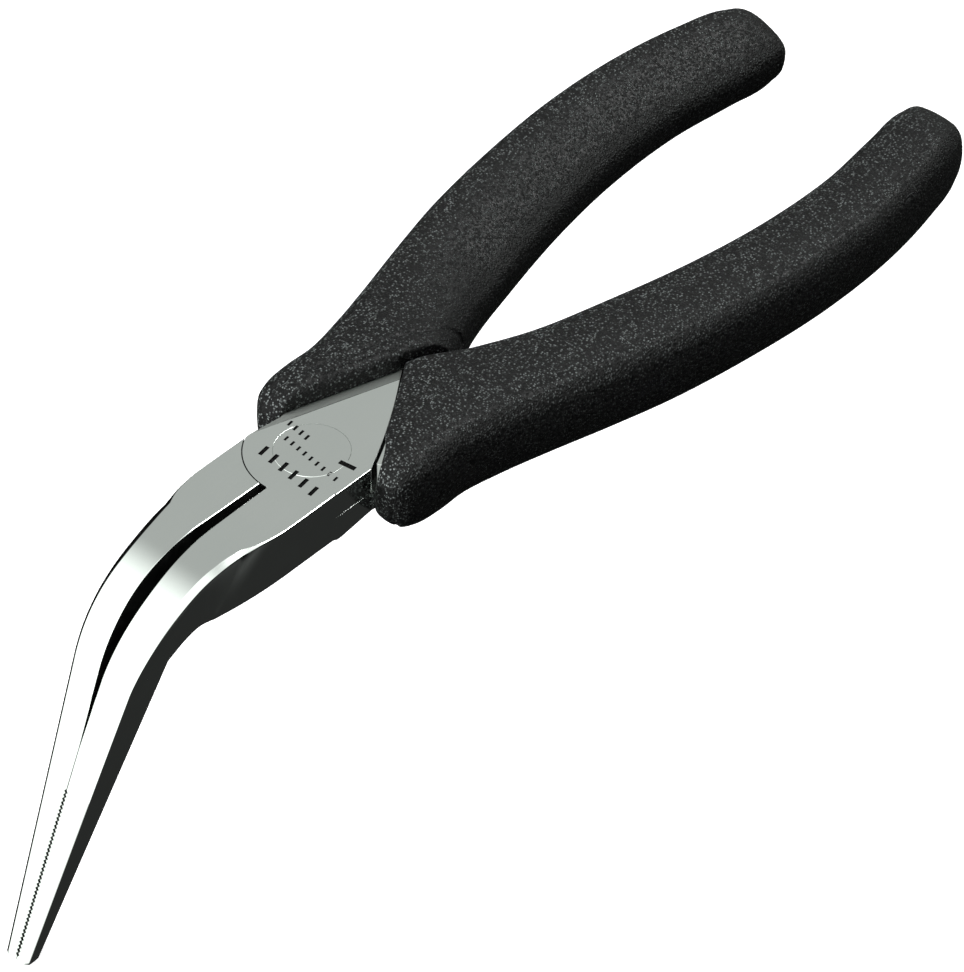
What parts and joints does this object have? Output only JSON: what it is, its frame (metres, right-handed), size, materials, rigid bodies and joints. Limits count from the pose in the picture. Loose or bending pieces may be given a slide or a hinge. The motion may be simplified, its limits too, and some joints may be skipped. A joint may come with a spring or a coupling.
{
  "type": "needle nose pliers",
  "caption": "Bent needle nose pliers with a lap joint, a flush rivet, serrated jaws and moulded grips.",
  "frame": {"origin": "on the pivot axis, in the plane of the head's back face", "axes": "+X from the pivot towards the jaws, +Y towards the front lever's jaw, +Z along the pivot axis out of the front face of the head; the nose bends towards -Z"},
  "size_m": [0.1988, 0.0624, 0.064],
  "materials": {
    "polished_steel": "polished chrome-plated forged steel",
    "rivet_steel": "polished flush rivet",
    "moulded_grip": "matt pebble-textured moulded elastomer"
  },
  "bodies": {
    "front": {"lever_front": "polished_steel", "pivot_rivet": "rivet_steel", "grip_front_lever": "moulded_grip"},
    "back": {"lever_back": "polished_steel", "grip_back_lever": "moulded_grip"}
  },
  "joints": [
    {"name": "pivot", "type": "hinge", "parent": "front", "child": "back", "pos_m": [0, 0, 0], "axis": [0, 0, -1], "range_deg": [0, 35]}
  ]
}
